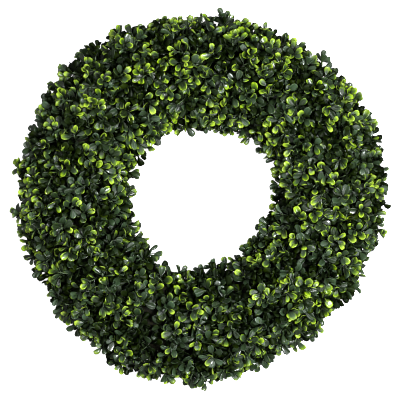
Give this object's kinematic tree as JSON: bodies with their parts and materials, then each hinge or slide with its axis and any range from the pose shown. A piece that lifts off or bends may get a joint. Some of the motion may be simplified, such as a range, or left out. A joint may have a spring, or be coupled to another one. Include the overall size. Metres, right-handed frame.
{
  "type": "boxwood wreath",
  "caption": "Round artificial boxwood wreath: small-leaved green sprigs in bunches, tied in three rows to a wire ring frame, with an open centre.",
  "frame": {"origin": "centre of the wreath's back, on the surface that it lies on", "axes": "+Z out of the wreath's face, +Y towards the top of the wreath as it hangs, +X to the right as it is looked at"},
  "size_m": [0.5355, 0.5221, 0.1193],
  "materials": {
    "foliage": "moulded plastic leaves, dark green with lime edges, satin",
    "wire": "dark green paint"
  },
  "bodies": {
    "root": {"wire_frame": "wire", "hole_row_bunch_01": "foliage", "hole_row_bunch_02": "foliage", "hole_row_bunch_03": "foliage", "hole_row_bunch_04": "foliage", "hole_row_bunch_05": "foliage", "hole_row_bunch_06": "foliage", "hole_row_bunch_07": "foliage", "hole_row_bunch_08": "foliage", "hole_row_bunch_09": "foliage", "hole_row_bunch_10": "foliage", "hole_row_bunch_11": "foliage", "hole_row_bunch_12": "foliage", "face_row_bunch_01": "foliage", "face_row_bunch_02": "foliage", "face_row_bunch_03": "foliage", "face_row_bunch_04": "foliage", "face_row_bunch_05": "foliage", "face_row_bunch_06": "foliage", "face_row_bunch_07": "foliage", "face_row_bunch_08": "foliage", "face_row_bunch_09": "foliage", "face_row_bunch_10": "foliage", "face_row_bunch_11": "foliage", "face_row_bunch_12": "foliage", "face_row_bunch_13": "foliage", "face_row_bunch_14": "foliage", "face_row_bunch_15": "foliage", "face_row_bunch_16": "foliage", "face_row_bunch_17": "foliage", "face_row_bunch_18": "foliage", "rim_row_bunch_01": "foliage", "rim_row_bunch_02": "foliage", "rim_row_bunch_03": "foliage", "rim_row_bunch_04": "foliage", "rim_row_bunch_05": "foliage", "rim_row_bunch_06": "foliage", "rim_row_bunch_07": "foliage", "rim_row_bunch_08": "foliage", "rim_row_bunch_09": "foliage", "rim_row_bunch_10": "foliage", "rim_row_bunch_11": "foliage", "rim_row_bunch_12": "foliage", "rim_row_bunch_13": "foliage", "rim_row_bunch_14": "foliage", "rim_row_bunch_15": "foliage", "rim_row_bunch_16": "foliage", "rim_row_bunch_17": "foliage", "rim_row_bunch_18": "foliage", "rim_row_bunch_19": "foliage", "rim_row_bunch_20": "foliage", "rim_row_bunch_21": "foliage", "rim_row_bunch_22": "foliage", "rim_row_bunch_23": "foliage", "rim_row_bunch_24": "foliage"}
  },
  "joints": []
}
